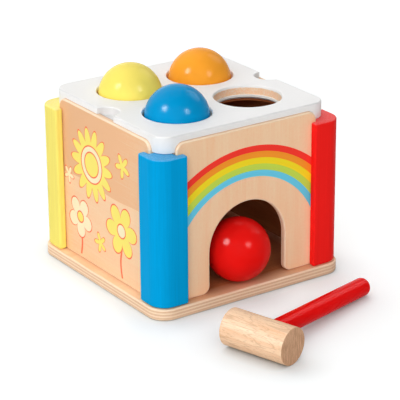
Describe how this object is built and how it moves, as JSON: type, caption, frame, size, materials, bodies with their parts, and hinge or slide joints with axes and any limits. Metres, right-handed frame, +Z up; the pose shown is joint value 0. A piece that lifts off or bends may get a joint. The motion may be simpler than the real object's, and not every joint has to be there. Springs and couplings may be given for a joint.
{
  "type": "pounding bench",
  "caption": "Wooden pounding box toy: balls are knocked with a mallet through ringed holes in a lift-off lid, drop inside and roll out of the front arch.",
  "frame": {"origin": "middle of the base plate's underside, on the surface that the box stands on", "axes": "+Z up; -Y out of the front face with the arch; +X to the right of someone who looks at that face"},
  "size_m": [0.156, 0.2584, 0.1453],
  "materials": {
    "plywood": "clear satin lacquer",
    "beech": "sanded, clear matt",
    "paint_white": "white satin paint",
    "paint_blue": "blue satin paint",
    "paint_red": "red satin paint",
    "paint_orange": "orange satin paint",
    "paint_yellow": "yellow satin paint",
    "lacquer_blue": "blue gloss lacquer",
    "lacquer_red": "red gloss lacquer",
    "lacquer_orange": "orange gloss lacquer",
    "lacquer_yellow": "yellow gloss lacquer",
    "ring_white": "soft white rubber",
    "steel": "zinc plated"
  },
  "bodies": {
    "box": {"base_plate": "plywood", "panel_front": "plywood", "panel_right": "plywood", "panel_back": "plywood", "panel_left": "plywood", "post_blue": "paint_blue", "post_red": "paint_red", "post_orange": "paint_orange", "post_yellow": "paint_yellow", "screw_front_left": "steel", "screw_front_right": "steel", "screw_back_right": "steel", "screw_back_left": "steel"},
    "lid": {"lid_board": "paint_white", "ring_blue": "ring_white", "ring_red": "ring_white", "ring_orange": "ring_white", "ring_yellow": "ring_white"},
    "blue_ball": {"ball_blue": "lacquer_blue"},
    "yellow_ball": {"ball_yellow": "lacquer_yellow"},
    "orange_ball": {"ball_orange": "lacquer_orange"},
    "red_ball": {"ball_red": "lacquer_red"},
    "mallet": {"mallet_head": "beech", "mallet_handle": "lacquer_red"}
  },
  "joints": [
    {"name": "lid_lift", "type": "slide", "parent": "box", "child": "lid", "axis": [0, 0, 1], "range_m": [0, 0.06]},
    {"name": "blue_ball_pound", "type": "slide", "parent": "lid", "child": "blue_ball", "axis": [0, 0, 1], "range_m": [-0.07, 0.05], "deforming": ["ring_blue"]},
    {"name": "yellow_ball_pound", "type": "slide", "parent": "lid", "child": "yellow_ball", "axis": [0, 0, 1], "range_m": [-0.0915, 0.05], "deforming": ["ring_yellow"]},
    {"name": "orange_ball_pound", "type": "slide", "parent": "lid", "child": "orange_ball", "axis": [0, 0, 1], "range_m": [-0.0915, 0.05], "deforming": ["ring_orange"]},
    {"name": "red_ball_roll", "type": "slide", "parent": "box", "child": "red_ball", "axis": [0, -1, 0], "range_m": [0, 0.0326]},
    {"name": "mallet_lift", "type": "slide", "parent": "box", "child": "mallet", "axis": [0, 0, 1], "range_m": [0, 0.08]}
  ]
}
